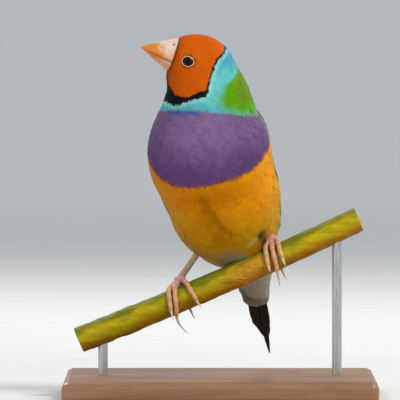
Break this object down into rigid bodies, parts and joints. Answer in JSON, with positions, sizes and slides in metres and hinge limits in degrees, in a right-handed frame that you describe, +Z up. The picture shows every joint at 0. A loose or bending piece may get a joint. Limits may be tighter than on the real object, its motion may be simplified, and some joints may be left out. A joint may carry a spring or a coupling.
{
  "type": "gouldian finch display model",
  "caption": "Life-size Gouldian finch perched upright on a cut stem, head in profile, held by a flat wooden base and two short rods.",
  "frame": {"origin": "middle of the base's underside", "axes": "+Z up, -Y towards the viewer, +X to the viewer's right along the rising stem"},
  "size_m": [0.096, 0.09, 0.1122],
  "materials": {
    "head_feathers": "matte orange feathers with a black rim",
    "neck_feathers": "turquoise collar, silky",
    "body_feathers": "golden belly and purple breast, silky",
    "wing_feathers": "leaf green, with brown flight feathers",
    "tail_feathers": "black with a pale blue rump and grey-white under coverts",
    "bill": "ivory horn, orange at the tip",
    "eye": "wet dark brown",
    "leg": "pale scaled skin",
    "toe": "peach-pink scaled skin",
    "claw": "pale horn",
    "stem": "yellow-olive bark",
    "base": "satin oiled wood",
    "rod": "satin"
  },
  "bodies": {
    "root": {"head": "head_feathers", "neck": "neck_feathers", "torso": "body_feathers", "wing_left": "wing_feathers", "wing_right": "wing_feathers", "tail": "tail_feathers", "bill_upper": "bill", "bill_lower": "bill", "eye_left": "eye", "eye_right": "eye", "tarsus_left": "leg", "tarsus_right": "leg", "toe_inner_left": "toe", "toe_middle_left": "toe", "toe_outer_left": "toe", "toe_hind_left": "toe", "toe_inner_right": "toe", "toe_middle_right": "toe", "toe_outer_right": "toe", "toe_hind_right": "toe", "claw_inner_left": "claw", "claw_middle_left": "claw", "claw_outer_left": "claw", "claw_hind_left": "claw", "claw_inner_right": "claw", "claw_middle_right": "claw", "claw_outer_right": "claw", "claw_hind_right": "claw", "perch": "stem", "stand_base": "base", "stand_rod_left": "rod", "stand_rod_right": "rod"}
  },
  "joints": []
}
